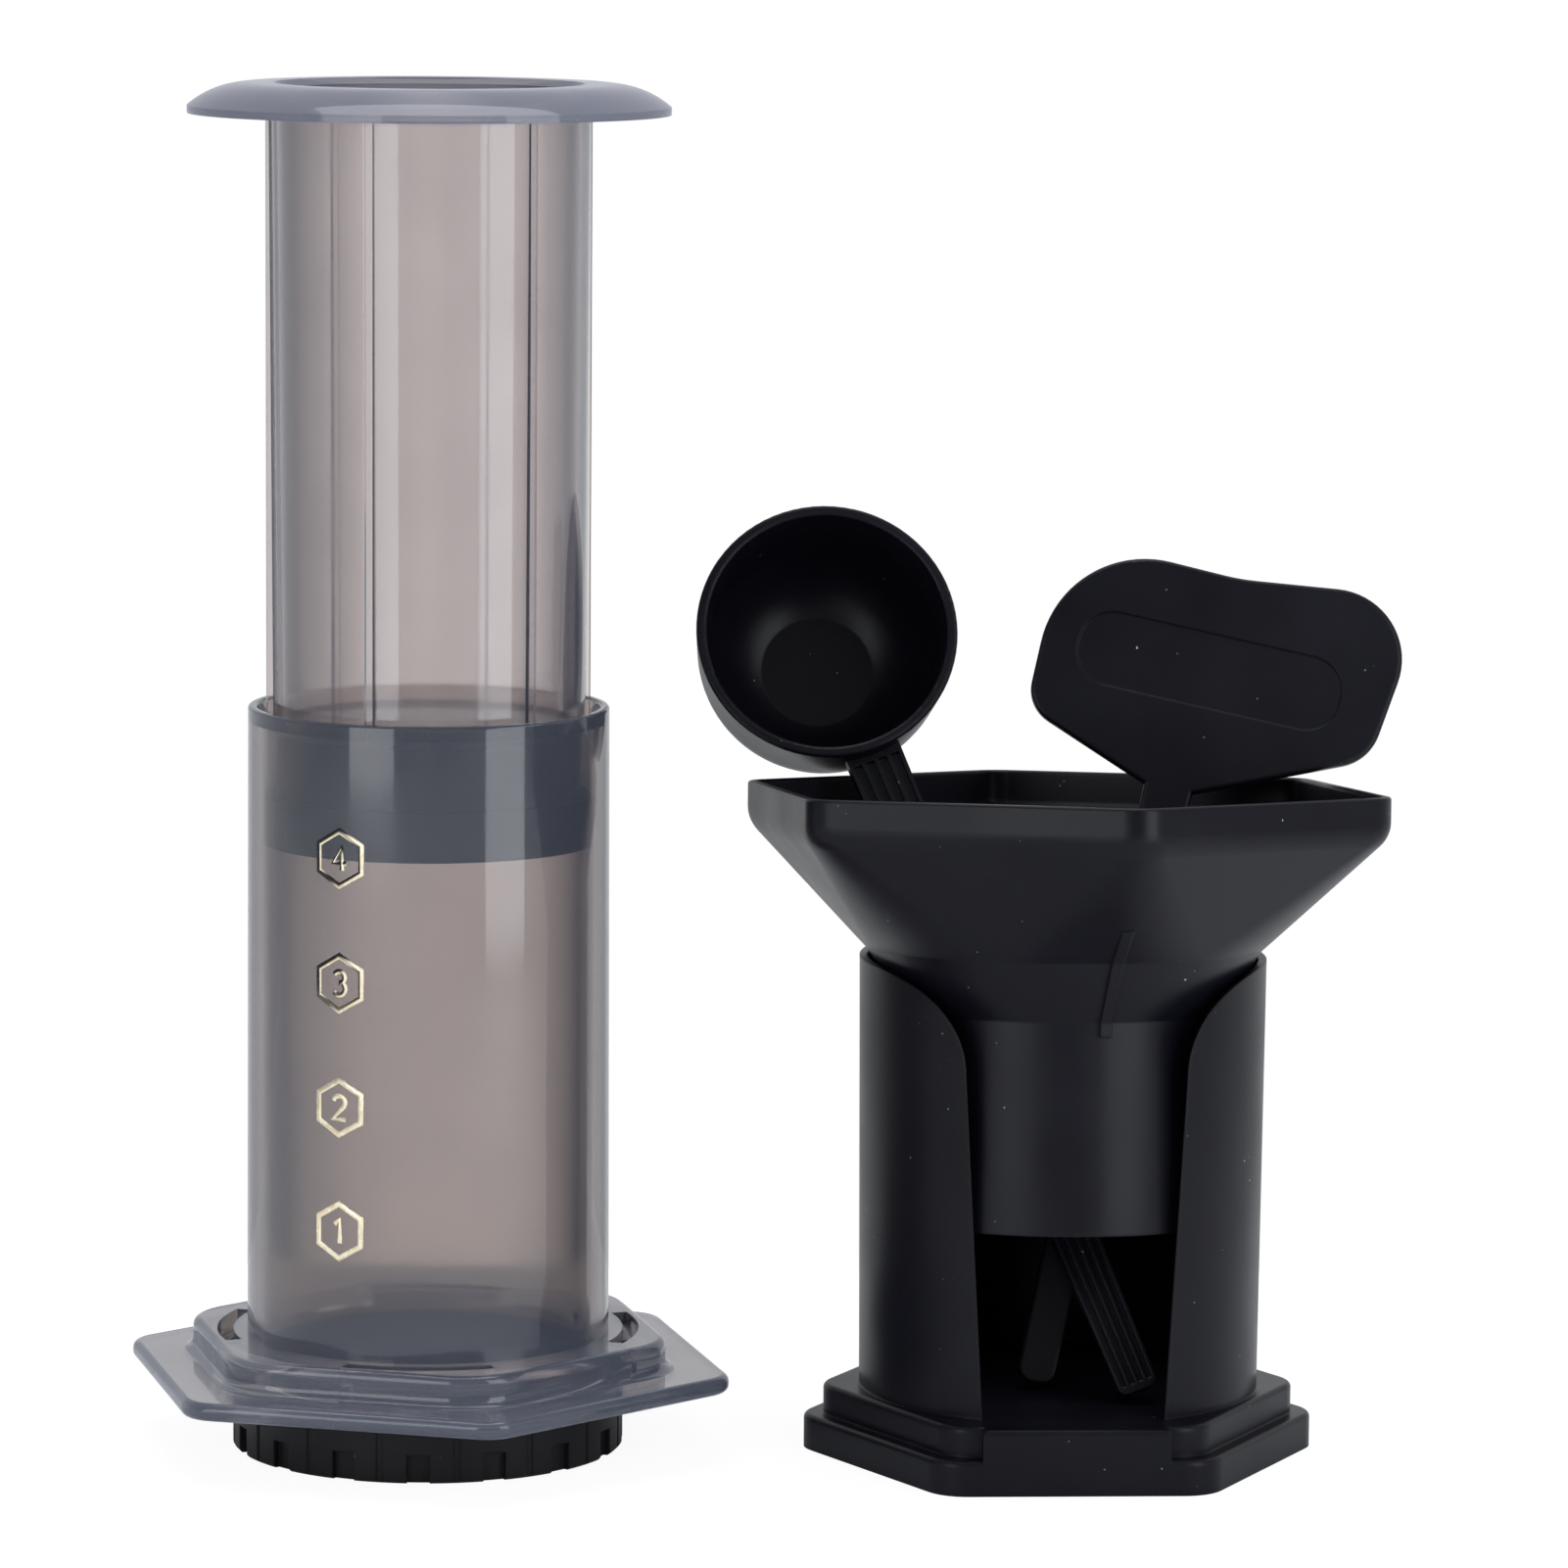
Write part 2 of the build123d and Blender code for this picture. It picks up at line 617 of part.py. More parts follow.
with BuildPart() as scoop:
    with BuildSketch(cup_plane):
        with BuildLine():
            Polyline(
                (scoop_foot_diameter / 2, -scoop_cup_depth),
                (0, -scoop_cup_depth),
                (0, 0),
                (cup_radius, 0),
                (cup_waist_radius, -scoop_straight_depth),
            )
            TangentArc(
                (cup_waist_radius, -scoop_straight_depth),
                (scoop_foot_diameter / 2, -scoop_cup_depth),
                tangent=(-scoop_cup_draft, -scoop_straight_depth),
            )
        make_face()
    revolve(axis=cup_axis)
    offset(amount=-scoop_wall, openings=scoop.faces().sort_by(cup_axis)[-1])
    fillet(scoop.faces().sort_by(cup_axis)[-1].edges(), radius=scoop_rim_edge)
    with BuildSketch(scoop_plane.offset(-handle_back_depth)) as handle_outline:
        with BuildLine():
            Polyline(
                (handle_start, -handle_root_half),
                (scoop_reach, -handle_end_half),
                (scoop_reach, handle_end_half),
                (handle_start, handle_root_half),
                close=True,
            )
        make_face()
        fillet(handle_outline.vertices().group_by(Axis.X)[-1], radius=scoop_handle_rounding)
    extrude(amount=scoop_handle_thickness + scoop_rib_height)
    with BuildSketch(scoop_plane.offset(-scoop_handle_depth)):
        for channel in range(scoop_channel_count):
            place = channel - channel_middle
            root_half = channel_root_pitch / 2 - rib_half
            end_half = channel_end_pitch / 2 - rib_half
            with BuildLine():
                Polyline(
                    (channel_start, channel_root_pitch * place - root_half),
                    (channel_end, channel_end_pitch * place - end_half),
                    (channel_end, channel_end_pitch * place + end_half),
                    (channel_start, channel_root_pitch * place + root_half),
                    close=True,
                )
            make_face()
    extrude(amount=scoop_rib_height + cut_overrun, mode=Mode.SUBTRACT)
scoop.part.label = "scoop"

# Stirrer: a flat handle and a broad paddle with two lobes and a shallow panel
stirrer_foot = Vector(
    caddy_distance + stirrer_foot_side, stirrer_foot_front, caddy_floor_z + stirrer_foot_rise
)
stirrer_neck = Vector(
    caddy_distance + stirrer_neck_side, stirrer_neck_back, funnel_rim_z - stirrer_neck_drop
)
stirrer_up = stirrer_neck - stirrer_foot
stirrer_out = Vector(1, 0, 0).cross(stirrer_up)
stirrer_plane = Plane(origin=stirrer_foot, x_dir=stirrer_up.cross(stirrer_out), z_dir=stirrer_out)
stirrer_axis = Axis(stirrer_plane.origin, stirrer_plane.z_dir)
handle_length = stirrer_up.length
handle_half = stirrer_handle_width / 2
neck_half = stirrer_neck_width / 2
paddle_corners = [
    (paddle_width * across_share, handle_length + paddle_height * up_share)
    for across_share, up_share, rounding_share in paddle_corner_shares
]
panel_centre = (
    paddle_width * paddle_panel_side_share,
    handle_length + paddle_height * paddle_panel_rise_share,
)

with BuildPart() as stirrer:
    with BuildSketch(stirrer_plane.offset(-stirrer_thickness / 2)) as stirrer_outline:
        with BuildLine():
            Polyline(
                (-neck_half, handle_length),
                (-handle_half, 0),
                (handle_half, 0),
                (neck_half, handle_length),
                *paddle_corners,
                close=True,
            )
        make_face()
        fillet(stirrer_outline.vertices().group_by(Axis.Y)[0], radius=stirrer_handle_rounding)
        for corner, (across_share, up_share, rounding_share) in zip(paddle_corners, paddle_corner_shares):
            nearest_vertex = stirrer_outline.vertices().sort_by_distance(corner)[0]
            fillet(nearest_vertex, radius=paddle_height * rounding_share)
    extrude(amount=stirrer_thickness)
    fillet(stirrer.faces().sort_by(stirrer_axis)[-1].edges(), radius=stirrer_edge)
    fillet(stirrer.faces().sort_by(stirrer_axis)[0].edges(), radius=stirrer_edge)
    with BuildSketch(stirrer_plane.offset(stirrer_thickness / 2 - paddle_panel_depth)):
        with Locations(panel_centre):
            RectangleRounded(paddle_panel_width, paddle_panel_height, paddle_panel_rounding)
    extrude(amount=paddle_panel_depth + cut_overrun, mode=Mode.SUBTRACT)
stirrer.part.label = "stirrer"

os.makedirs("parts", exist_ok=True)
for piece in (
    filter_cap, paper_filter, chamber, plunger, plunger_seal, caddy, funnel, scoop, stirrer
):
    export_step(piece.part, f"parts/{piece.part.label}.step")
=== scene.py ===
from math import cos, pi, radians, sin

import bpy
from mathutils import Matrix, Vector


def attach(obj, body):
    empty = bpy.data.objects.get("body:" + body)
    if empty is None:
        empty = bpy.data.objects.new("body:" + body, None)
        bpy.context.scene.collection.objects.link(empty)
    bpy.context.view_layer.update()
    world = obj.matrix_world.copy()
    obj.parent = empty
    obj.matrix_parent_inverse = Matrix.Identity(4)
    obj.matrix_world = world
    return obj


# A hand coffee press beside its tool caddy. Lengths are in metres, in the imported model's frame.
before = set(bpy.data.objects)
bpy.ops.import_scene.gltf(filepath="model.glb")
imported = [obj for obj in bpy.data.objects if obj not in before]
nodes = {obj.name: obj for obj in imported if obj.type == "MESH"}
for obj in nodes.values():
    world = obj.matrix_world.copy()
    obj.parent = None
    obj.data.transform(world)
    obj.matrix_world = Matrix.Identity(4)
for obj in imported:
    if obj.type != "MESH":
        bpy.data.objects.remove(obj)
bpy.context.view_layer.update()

# Camera, fitted to the photograph
CAMERA_PLACE = (0.06502, -1.3113, 0.3008)
CAMERA_DIP = radians(7.716)
CAMERA_ROLL = radians(0.45)
CAMERA_SENSOR_MM = 36.0
CAMERA_LENS_MM = 165.96

# Outside of the chamber's tube, which carries the level marks
TUBE_FOOT_HEIGHT = 0.0029
TUBE_RIM_HEIGHT = 0.1373
TUBE_FOOT_RADIUS = 0.0334
TUBE_RIM_RADIUS = 0.0330

# Level marks: raised foil hexagons round a numeral, turned about the tube's axis from +X
MARK_LOWEST = 0.0451
MARK_SPACING = 0.02265
MARK_TURN = radians(-116.1)
MARK_CORNER_RADIUS = 0.0050
MARK_LINE_WIDTH = 0.00125
MARK_LINE_HEIGHT = 0.00022
MARK_SINK = 0.00002
NUMERAL_HEIGHT = 0.0043
NUMERAL_LINE_WIDTH = 0.00100
NUMERAL_ARC_STEPS = 14
LINE_ROUNDING_STEPS = 3

# Noise factors between which a noise goes from one tone or roughness to the other
NOISE_LOW = 0.3
NOISE_HIGH = 0.7

# Smoky plastic: the clear and the cloudy tint of each tube
CHAMBER_TINTS = ((0.70, 0.62, 0.57, 1.0), (0.66, 0.585, 0.54, 1.0))
PLUNGER_TINTS = ((0.83, 0.76, 0.73, 1.0), (0.79, 0.725, 0.695, 1.0))
SMOKY_ROUGHNESS = (0.05, 0.09)
SMOKY_IOR = 1.49

# Haze of the smoky plastic: the share of light that it scatters, and in which colour. It is thin in the
# tubes, and between two heights it thickens, down to the chamber's foot and up to the palm flange
HAZE_SHARE = 0.07
HAZE_COLOUR = (0.50, 0.57, 0.76, 1.0)
FOOT_HAZE_SHARE = 0.13
FOOT_HAZE_HEIGHTS = (0.031, 0.019)
PALM_HAZE_SHARE = 0.45
PALM_HAZE_COLOUR = (0.31, 0.32, 0.40, 1.0)
PALM_HAZE_HEIGHTS = (0.2435, 0.2458)

# Smoke inside the plastic: how much a metre of it absorbs, and the colour that it spares
SMOKE_DENSITY = 38.0
SMOKE_COLOUR = (0.0, 0.02, 0.12, 1.0)

# Black mouldings: the plain tone and the tone of the flow marks, and the factors at which dust shows
CAP_TONES = ((0.009, 0.009, 0.010, 1.0), (0.012, 0.012, 0.0135, 1.0))
TOOL_TONES = ((0.0030, 0.0030, 0.0058, 1.0), (0.0050, 0.0050, 0.0088, 1.0))
BLACK_ROUGHNESS = (0.30, 0.39)
BLACK_SPECULAR = 0.17
DUST_COLOUR = (0.35, 0.35, 0.36, 1.0)
DUST_FACTORS = (0.80, 0.84)
EDGE_RADIUS = 0.0006
EDGE_SAMPLES = 4

# Seal and paper filter
RUBBER_TONES = ((0.012, 0.015, 0.021, 1.0), (0.018, 0.022, 0.030, 1.0))
RUBBER_ROUGHNESS = (0.45, 0.60)
PAPER_TONES = ((0.80, 0.76, 0.68, 1.0), (0.90, 0.88, 0.82, 1.0))
PAPER_ROUGHNESS = 0.9
FIBRE_STRETCH = (1.0, 0.35, 1.0)

# Foil of the marks: its bright tones, and the painted shade on the flanks that face away from one side,
# which stands in for dark surroundings mirrored in the foil. The painted shade grows between two heights
FOIL_TONES = ((0.86, 0.72, 0.46, 1.0), (0.96, 0.88, 0.68, 1.0))
FOIL_METALLIC = 0.35
FOIL_ROUGHNESS = (0.16, 0.34)
FOIL_PAINTED_SHADE = (0.012, 0.010, 0.008, 1.0)
FOIL_PAINTED_SHADE_HEIGHTS = (MARK_LOWEST + 0.6 * MARK_SPACING, MARK_LOWEST + 2.0 * MARK_SPACING)
FOIL_PAINTED_LIGHT_SIDE = (-sin(MARK_TURN), cos(MARK_TURN), -0.6)
FOIL_SHADED_FLANK_FACTORS = (-0.05, 0.20)

# Floor: its extent, its own colour, the near white with a faint shadow that the camera sees, and the
# grey that shows through the plastic
FLOOR_HALF_WIDTH = 0.9
FLOOR_FRONT = -1.0
FLOOR_BACK = 0.16
FLOOR_FADE_START = 0.06
FLOOR_COLOUR = (0.90, 0.90, 0.91, 1.0)
FLOOR_ROUGHNESS = 0.9
FLOOR_GLOW = 0.93
FLOOR_SHADOW_COLOUR = (0.12, 0.12, 0.12, 1.0)
FLOOR_THROUGH_PLASTIC = 0.42

# Surroundings: a room that is brighter behind the press than in front of it
WHITE = (1.0, 1.0, 1.0, 1.0)
ROOM_COLOUR = (0.95, 0.97, 1.0, 1.0)
ROOM_STRENGTHS = (0.34, 0.80)
ROOM_FRONT_AND_BACK = (-0.6, 0.6)

# Backdrop seen through the press: its middle across, as part of a direction, and its strength at
# each distance aside from there
BACKDROP_MIDDLE = -0.032
BACKDROP_STRENGTHS = ((0.03, 1.0), (0.185, 0.14), (0.32, 0.14), (0.60, 0.55))

# Softboxes: name, place, the point that it faces, width, height and watts
SOFTBOX_COLOUR = (0.94, 0.97, 1.0)
SOFTBOXES = (
    ("softbox_left", (-0.535, -0.809, 0.30), (0.0, 0.0, 0.30), 0.50, 0.60, 3.2),
    ("softbox_right", (0.452, -0.363, 0.27), (0.0, 0.0, 0.27), 0.27, 0.52, 1.6),
    ("softbox_top", (0.05, 0.10, 1.10), (0.05, 0.0, 0.10), 0.80, 0.60, 5.0),
)


def new_material(name):
    """Give a new node material with its tree and its surface shader."""
    material = bpy.data.materials.new(name)
    material.use_nodes = True
    return material, material.node_tree, material.node_tree.nodes["Principled BSDF"]


def feed(tree, socket, value):
    """Link a socket to an output, or set it to a plain value."""
    if isinstance(value, bpy.types.NodeSocket):
        tree.links.new(value, socket)
    else:
        socket.default_value = value


def add_axis(tree, axis, space="Object"):
    """Give one coordinate of a point, in the piece's own space if no other is named."""
    place = tree.nodes.new("ShaderNodeTexCoord")
    axes = tree.nodes.new("ShaderNodeSeparateXYZ")
    tree.links.new(place.outputs[space], axes.inputs["Vector"])
    return axes.outputs[axis]


def add_noise(tree, scale, detail, stretch=(1.0, 1.0, 1.0)):
    """Add a noise in the piece's own space and give its factor."""
    place = tree.nodes.new("ShaderNodeTexCoord")
    scaling = tree.nodes.new("ShaderNodeMapping")
    scaling.inputs["Scale"].default_value = stretch
    noise = tree.nodes.new("ShaderNodeTexNoise")
    noise.inputs["Scale"].default_value = scale
    noise.inputs["Detail"].default_value = detail
    tree.links.new(place.outputs["Object"], scaling.inputs["Vector"])
    tree.links.new(scaling.outputs["Vector"], noise.inputs["Vector"])
    return noise.outputs["Fac"]


def add_range(tree, factor, low=0.0, high=1.0, start=NOISE_LOW, end=NOISE_HIGH):
    """Map a factor from its start and end onto the low and high values."""
    mapping = tree.nodes.new("ShaderNodeMapRange")
    mapping.inputs["From Min"].default_value = start
    mapping.inputs["From Max"].default_value = end
    mapping.inputs["To Min"].default_value = low
    mapping.inputs["To Max"].default_value = high
    tree.links.new(factor, mapping.inputs["Value"])
    return mapping.outputs["Result"]


def add_math(tree, operation, first, second=0.0):
    """Work out a number from others, each plain or an output."""
    node = tree.nodes.new("ShaderNodeMath")
    node.operation = operation
    feed(tree, node.inputs[0], first)
    feed(tree, node.inputs[1], second)
    return node.outputs["Value"]


def add_blend(tree, factor, first, second):
    """Blend two colours, each plain or an output, by a factor."""
    mix = tree.nodes.new("ShaderNodeMix")
    mix.data_type = "RGBA"
    tree.links.new(factor, mix.inputs["Factor"])
    feed(tree, mix.inputs["A"], first)
    feed(tree, mix.inputs["B"], second)
    return mix.outputs["Result"]


def add_bump(tree, surface, factor, strength, distance, edge_radius=0.0):
    """Roughen the surface by a factor, and round its edges to the eye."""
    bump = tree.nodes.new("ShaderNodeBump")
    if edge_radius > 0.0:
        edges = tree.nodes.new("ShaderNodeBevel")
        edges.samples = EDGE_SAMPLES
        edges.inputs["Radius"].default_value = edge_radius
        tree.links.new(edges.outputs["Normal"], bump.inputs["Normal"])
    bump.inputs["Strength"].default_value = strength
    bump.inputs["Distance"].default_value = distance
    tree.links.new(factor, bump.inputs["Height"])
    tree.links.new(bump.outputs["Normal"], surface.inputs["Normal"])


def mix_shaders(tree, factor, first, second):
    """Mix two shaders by a factor, at which 0 is all the first."""
    mix = tree.nodes.new("ShaderNodeMixShader")
    tree.links.new(factor, mix.inputs["Fac"])
    tree.links.new(first, mix.inputs[1])
    tree.links.new(second, mix.inputs[2])
    return mix.outputs["Shader"]


def show_to(tree, rays, shader, otherwise):
    """Give one shader to the named kind of light path, and another to the rest."""
    path = tree.nodes.new("ShaderNodeLightPath")
    return mix_shaders(tree, path.outputs[rays], otherwise, shader)


def smoky_plastic(name, tints, thick_share, thick_colour, heights):
    """Smoky moulded plastic: warm against the light, with faint clouds and a haze that thickens."""
    material, tree, surface = new_material(name)
    clouds = add_noise(tree, scale=55.0, detail=2.0)
    feed(tree, surface.inputs["Base Color"], add_blend(tree, add_range(tree, clouds), *tints))
    feed(tree, surface.inputs["Roughness"], add_range(tree, clouds, *SMOKY_ROUGHNESS))
    surface.inputs["Transmission Weight"].default_value = 1.0
    surface.inputs["IOR"].default_value = SMOKY_IOR
    height = add_axis(tree, "Z")
    haze = tree.nodes.new("ShaderNodeBsdfDiffuse")
    haze_colour = HAZE_COLOUR
    if thick_colour != HAZE_COLOUR:
        thickening = add_range(tree, height, 0.0, 1.0, *heights)
        haze_colour = add_blend(tree, thickening, HAZE_COLOUR, thick_colour)
    feed(tree, haze.inputs["Color"], haze_colour)
    haze_share = add_range(tree, height, HAZE_SHARE, thick_share, *heights)
    hazy = mix_shaders(tree, haze_share, surface.outputs["BSDF"], haze.outputs["BSDF"])
    smoke = tree.nodes.new("ShaderNodeVolumeAbsorption")
    smoke.inputs["Color"].default_value = SMOKE_COLOUR
    smoke.inputs["Density"].default_value = SMOKE_DENSITY
    output = tree.nodes["Material Output"]
    tree.links.new(hazy, output.inputs["Surface"])
    tree.links.new(smoke.outputs["Volume"], output.inputs["Volume"])
    return material


def black_plastic(name, tones):
    """Satin black moulding with a fine grain, paler flow marks and specks of dust."""
    material, tree, surface = new_material(name)
    flow = add_noise(tree, scale=45.0, detail=4.0)
    grain = add_noise(tree, scale=2600.0, detail=2.0)
    dust = add_range(tree, add_noise(tree, scale=900.0, detail=1.0), 0.0, 1.0, *DUST_FACTORS)
    tone = add_blend(tree, add_range(tree, flow), *tones)
    feed(tree, surface.inputs["Base Color"], add_blend(tree, dust, tone, DUST_COLOUR))
    feed(tree, surface.inputs["Roughness"], add_range(tree, flow, *BLACK_ROUGHNESS))
    surface.inputs["Specular IOR Level"].default_value = BLACK_SPECULAR
    add_bump(tree, surface, grain, strength=0.12, distance=0.00008, edge_radius=EDGE_RADIUS)
    return material


def seal_rubber():
    """Dark slate rubber with a dull bloom."""
    material, tree, surface = new_material("seal_rubber")
    bloom = add_noise(tree, scale=120.0, detail=4.0)
    grain = add_noise(tree, scale=1800.0, detail=3.0)
    feed(tree, surface.inputs["Base Color"], add_blend(tree, add_range(tree, bloom), *RUBBER_TONES))
    feed(tree, surface.inputs["Roughness"], add_range(tree, bloom, *RUBBER_ROUGHNESS))
    add_bump(tree, surface, grain, strength=0.15, distance=0.0001)
    return material


def filter_paper():
    """Off-white paper with fibres."""
    material, tree, surface = new_material("filter_paper")
    fibres = add_noise(tree, scale=900.0, detail=5.0, stretch=FIBRE_STRETCH)
    feed(tree, surface.inputs["Base Color"], add_blend(tree, add_range(tree, fibres), *PAPER_TONES))
    surface.inputs["Roughness"].default_value = PAPER_ROUGHNESS
    add_bump(tree, surface, fibres, strength=0.4, distance=0.0001)
    return material


def gold_foil():
    """Stamped gold foil: all bright on the lowest mark, with painted shade on one flank of the upper
    ones.
    """
    material, tree, surface = new_material("gold_foil")
    breaks = add_noise(tree, scale=700.0, detail=4.0)
    bright = add_blend(tree, add_range(tree, breaks), *FOIL_TONES)
    # Painted shade: the upper marks darken with height, and on them the flanks that face away from one
    # side
    painted_shade_by_height = add_range(tree, add_axis(tree, "Z"), 0.0, 1.0, *FOIL_PAINTED_SHADE_HEIGHTS)
    place = tree.nodes.new("ShaderNodeTexCoord")
    facing = tree.nodes.new("ShaderNodeVectorMath")
    facing.operation = "DOT_PRODUCT"
    facing.inputs[1].default_value = FOIL_PAINTED_LIGHT_SIDE
    tree.links.new(place.outputs["Normal"], facing.inputs[0])
    shaded_flank = add_range(tree, facing.outputs["Value"], 1.0, 0.0, *FOIL_SHADED_FLANK_FACTORS)
    painted_shade = add_math(tree, "MULTIPLY", painted_shade_by_height, shaded_flank)
    feed(tree, surface.inputs["Base Color"], add_blend(tree, painted_shade, bright, FOIL_PAINTED_SHADE))
    surface.inputs["Metallic"].default_value = FOIL_METALLIC
    feed(tree, surface.inputs["Roughness"], add_range(tree, breaks, *FOIL_ROUGHNESS))
    add_bump(tree, surface, breaks, strength=0.25, distance=0.0001)
    return material


def dress(material, *names):
    """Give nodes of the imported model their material."""
    for name in names:
        slots = nodes[name].data.materials
        slots.clear()
        slots.append(material)


dress(
    smoky_plastic("smoke_chamber", CHAMBER_TINTS, FOOT_HAZE_SHARE, HAZE_COLOUR, FOOT_HAZE_HEIGHTS),
    "chamber",
)
dress(
    smoky_plastic("smoke_plunger", PLUNGER_TINTS, PALM_HAZE_SHARE, PALM_HAZE_COLOUR, PALM_HAZE_HEIGHTS),
    "plunger",
)
dress(seal_rubber(), "plunger_seal")
dress(filter_paper(), "paper_filter")
dress(black_plastic("black_cap", CAP_TONES), "filter_cap")
dress(black_plastic("black_plastic", TOOL_TONES), "caddy", "funnel", "scoop", "stirrer")


def add_object(name, data):
    """Put a new object into the scene."""
    holder = bpy.data.objects.new(name, data)
    bpy.context.scene.collection.objects.link(holder)
    return holder


def arc(centre, radius, start, end):
    """Give points along an arc, from its starting to its ending angle in degrees."""
    turn = (end - start) / NUMERAL_ARC_STEPS
    angles = [radians(start + turn * step) for step in range(NUMERAL_ARC_STEPS + 1)]
    return [(centre[0] + radius * cos(angle), centre[1] + radius * sin(angle)) for angle in angles]


# Numerals as strokes, in shares of the numeral's height from its middle
NUMERAL_SHARES = {
    1: [[(-0.20, 0.30), (0.04, 0.50), (0.04, -0.50)]],
    2: [arc((0.0, 0.22), 0.28, 165, -38) + [(-0.30, -0.50), (0.32, -0.50)]],
    3: [arc((0.0, 0.25), 0.25, 150, -80) + arc((0.0, -0.22), 0.28, 80, -150)],
    4: [[(0.12, -0.50), (0.12, 0.50), (-0.32, -0.20), (0.34, -0.20)]],
}


def hexagon(radius):
    """Give the corners of a hexagon that stands on a corner."""
    angles = [pi / 2 + side * pi / 3 for side in range(6)]
    return [(radius * cos(angle), radius * sin(angle)) for angle in angles]


def stroke_mesh(strokes, width, height):
    """Give a mesh of raised strokes: each has points across and up, and whether it closes."""
    curve = bpy.data.curves.new("strokes", "CURVE")
    curve.dimensions = "3D"
    curve.bevel_depth = width / 2
    curve.bevel_resolution = LINE_ROUNDING_STEPS
    curve.use_fill_caps = True
    for points, closes in strokes:
        spline = curve.splines.new("POLY")
        spline.points.add(len(points) - 1)
        spline.use_cyclic_u = closes
        for point, (across, up) in zip(spline.points, points):
            point.co = (across, 0.0, up, 1.0)
    holder = bpy.data.objects.new("strokes", curve)
    mesh = bpy.data.meshes.new_from_object(holder)
    bpy.data.objects.remove(holder)
    for vertex in mesh.vertices:
        vertex.co.y *= height / (width / 2)
    return mesh


def tube_radius(height):
    """Give the chamber's outer radius at a height."""
    share = (height - TUBE_FOOT_HEIGHT) / (TUBE_RIM_HEIGHT - TUBE_FOOT_HEIGHT)
    return TUBE_FOOT_RADIUS + (TUBE_RIM_RADIUS - TUBE_FOOT_RADIUS) * share


def wrap_on_tube(mesh, turn, rise):
    """Bend a flat mesh, whose front is -Y, round the chamber's tube."""
    for vertex in mesh.vertices:
        height = rise + vertex.co.z
        radius = tube_radius(height)
        angle = turn + vertex.co.x / radius
        out = radius - MARK_SINK - vertex.co.y
        vertex.co = Vector((out * cos(angle), out * sin(angle), height))


def smooth(mesh):
    """Shade every face of a mesh smoothly."""
    for face in mesh.polygons:
        face.use_smooth = True


def level_mark(number, foil):
    """Add one level mark, a hexagon and its numeral, to the chamber."""
    numeral = [
        ([(across * NUMERAL_HEIGHT, up * NUMERAL_HEIGHT) for across, up in stroke], False)
        for stroke in NUMERAL_SHARES[number]
    ]
    forms = (
        (f"level_{number}_hexagon", [(hexagon(MARK_CORNER_RADIUS), True)], MARK_LINE_WIDTH),
        (f"level_{number}_numeral", numeral, NUMERAL_LINE_WIDTH),
    )
    for name, strokes, width in forms:
        mesh = stroke_mesh(strokes, width, MARK_LINE_HEIGHT)
        wrap_on_tube(mesh, MARK_TURN, MARK_LOWEST + MARK_SPACING * (number - 1))
        smooth(mesh)
        mesh.materials.append(foil)
        piece = add_object(name, mesh)
        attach(piece, "press")


foil = gold_foil()
for number in NUMERAL_SHARES:
    level_mark(number, foil)


def add_floor():
    """A plain pale floor that keeps a faint shadow and turns white towards its back edge."""
    corners = [
        (-FLOOR_HALF_WIDTH, FLOOR_FRONT, 0.0),
        (FLOOR_HALF_WIDTH, FLOOR_FRONT, 0.0),
        (FLOOR_HALF_WIDTH, FLOOR_BACK, 0.0),
        (-FLOOR_HALF_WIDTH, FLOOR_BACK, 0.0),
    ]
    mesh = bpy.data.meshes.new("floor")
    mesh.from_pydata(corners, [], [(0, 1, 2, 3)])
    floor = add_object("floor", mesh)
    material, tree, surface = new_material("floor")
    surface.inputs["Base Color"].default_value = FLOOR_COLOUR
    surface.inputs["Roughness"].default_value = FLOOR_ROUGHNESS
    surface.inputs["Specular IOR Level"].default_value = 0.0
    glow = tree.nodes.new("ShaderNodeEmission")
    strength = add_range(tree, add_axis(tree, "Y"), FLOOR_GLOW, 1.0, FLOOR_FADE_START, FLOOR_BACK)
    tree.links.new(strength, glow.inputs["Strength"])
    shadow = tree.nodes.new("ShaderNodeBsdfDiffuse")
    shadow.inputs["Color"].default_value = FLOOR_SHADOW_COLOUR
    white = tree.nodes.new("ShaderNodeAddShader")
    tree.links.new(glow.outputs["Emission"], white.inputs[0])
    tree.links.new(shadow.outputs["BSDF"], white.inputs[1])
    dim = tree.nodes.new("ShaderNodeEmission")
    dim.inputs["Strength"].default_value = FLOOR_THROUGH_PLASTIC
    through = show_to(tree, "Is Transmission Ray", dim.outputs["Emission"], surface.outputs["BSDF"])
    shader = show_to(tree, "Is Camera Ray", white.outputs["Shader"], through)
    tree.links.new(shader, tree.nodes["Material Output"].inputs["Surface"])
    mesh.materials.append(material)


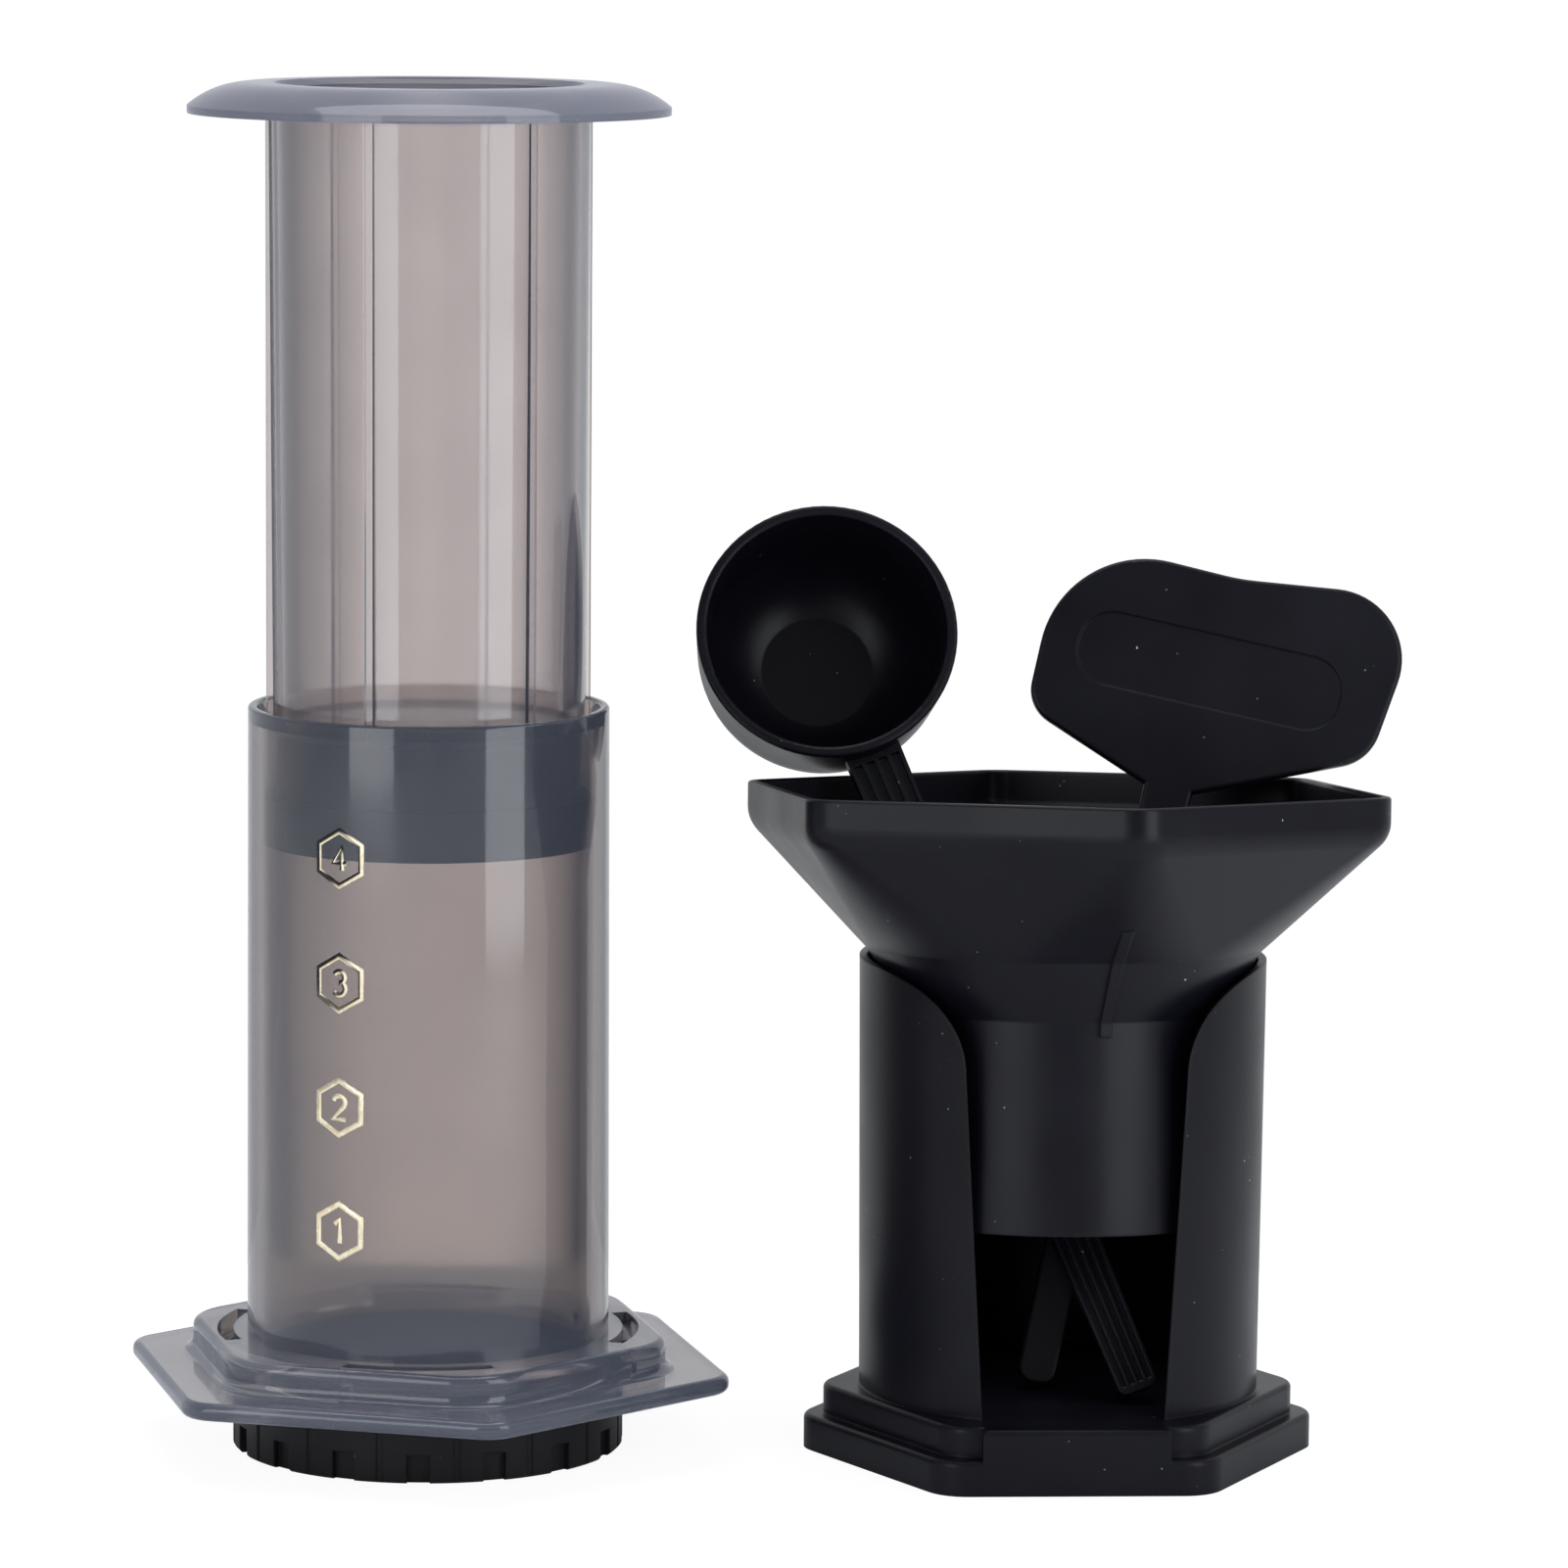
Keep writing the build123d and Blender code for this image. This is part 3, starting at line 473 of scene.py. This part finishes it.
def add_world():
    """Pale surroundings: white to the camera, and through the plastic a backdrop that fades sideways."""
    world = bpy.data.worlds.new("studio")
    bpy.context.scene.world = world
    world.use_nodes = True
    tree = world.node_tree
    room = tree.nodes["Background"]
    room.inputs["Color"].default_value = ROOM_COLOUR
    strength = add_range(tree, add_axis(tree, "Y", "Generated"), *ROOM_STRENGTHS, *ROOM_FRONT_AND_BACK)
    tree.links.new(strength, room.inputs["Strength"])
    across = add_math(tree, "SUBTRACT", add_axis(tree, "X", "Generated"), BACKDROP_MIDDLE)
    fade = tree.nodes.new("ShaderNodeValToRGB")
    tree.links.new(add_math(tree, "ABSOLUTE", across), fade.inputs["Fac"])
    stops = fade.color_ramp.elements
    while len(stops) < len(BACKDROP_STRENGTHS):
        stops.new(1.0)
    for stop, (position, shade) in zip(stops, BACKDROP_STRENGTHS):
        stop.position = position
        stop.color = (shade, shade, shade, 1.0)
    backdrop = tree.nodes.new("ShaderNodeBackground")
    tree.links.new(fade.outputs["Color"], backdrop.inputs["Color"])
    white = tree.nodes.new("ShaderNodeBackground")
    white.inputs["Color"].default_value = WHITE
    through = show_to(
        tree, "Is Transmission Ray", backdrop.outputs["Background"], room.outputs["Background"]
    )
    shader = show_to(tree, "Is Camera Ray", white.outputs["Background"], through)
    tree.links.new(shader, tree.nodes["World Output"].inputs["Surface"])


def add_softbox(name, place, target, width, height, watts):
    """A softbox that faces its target, and isn't seen by the camera or through the plastic."""
    lamp = bpy.data.lights.new(name, "AREA")
    lamp.shape = "RECTANGLE"
    lamp.size = width
    lamp.size_y = height
    lamp.energy = watts
    lamp.color = SOFTBOX_COLOUR
    holder = add_object(name, lamp)
    holder.location = place
    holder.rotation_euler = (Vector(target) - Vector(place)).to_track_quat("-Z", "Y").to_euler()
    holder.visible_camera = False
    holder.visible_transmission = False


def add_camera():
    """The photograph's camera."""
    camera = bpy.data.cameras.new("camera")
    camera.sensor_width = CAMERA_SENSOR_MM
    camera.lens = CAMERA_LENS_MM
    holder = add_object("camera", camera)
    holder.location = CAMERA_PLACE
    holder.rotation_mode = "ZYX"
    holder.rotation_euler = (pi / 2 - CAMERA_DIP, 0.0, CAMERA_ROLL)
    bpy.context.scene.camera = holder


add_floor()
add_world()
for softbox in SOFTBOXES:
    add_softbox(*softbox)
add_camera()
bpy.context.scene.view_settings.view_transform = "Standard"
